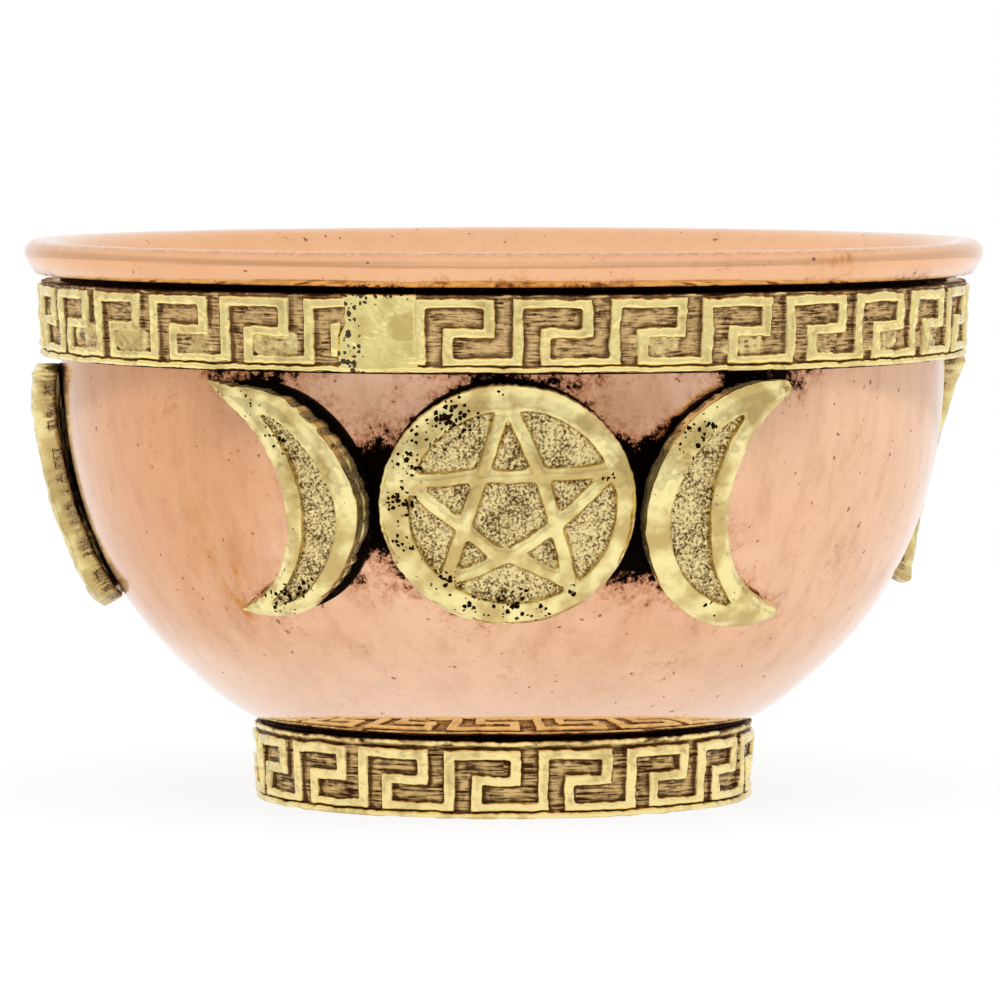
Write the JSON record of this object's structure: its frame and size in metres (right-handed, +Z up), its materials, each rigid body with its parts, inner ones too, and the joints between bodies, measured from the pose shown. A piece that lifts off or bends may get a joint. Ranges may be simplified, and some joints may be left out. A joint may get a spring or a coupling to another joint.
{
  "type": "offering bowl",
  "caption": "Round footed offering bowl of spun copper with a cast brass key band, a key-pattern foot ring and soldered pentacle and crescent castings.",
  "frame": {"origin": "middle of the foot ring's resting face", "axes": "+Z up along the bowl's axis, -Y towards the front pentacle disc, +X to its right"},
  "size_m": [0.0762, 0.0762, 0.0444],
  "materials": {
    "copper_sheet": "polished copper with light tarnish",
    "cast_brass": "cast brass, ridges polished, recesses patinated brown",
    "braze": "flooded braze, polished, pitted",
    "solder": "soft solder, black with flux and oxide"
  },
  "bodies": {
    "root": {"bowl": "copper_sheet", "key_band": "cast_brass", "key_band_braze": "braze", "key_band_solder": "solder", "foot_ring": "cast_brass", "foot_ring_braze": "braze", "foot_solder": "solder", "pentacle_front": "cast_brass", "crescent_front_left": "cast_brass", "crescent_front_right": "cast_brass", "pentacle_left": "cast_brass", "crescent_left_rear": "cast_brass", "crescent_left_fore": "cast_brass", "pentacle_right": "cast_brass", "crescent_right_fore": "cast_brass", "crescent_right_rear": "cast_brass", "solder_pentacle_front": "solder", "solder_crescent_front_left": "solder", "solder_crescent_front_right": "solder", "solder_pentacle_left": "solder", "solder_crescent_left_rear": "solder", "solder_crescent_left_fore": "solder", "solder_pentacle_right": "solder", "solder_crescent_right_fore": "solder", "solder_crescent_right_rear": "solder"}
  },
  "joints": []
}
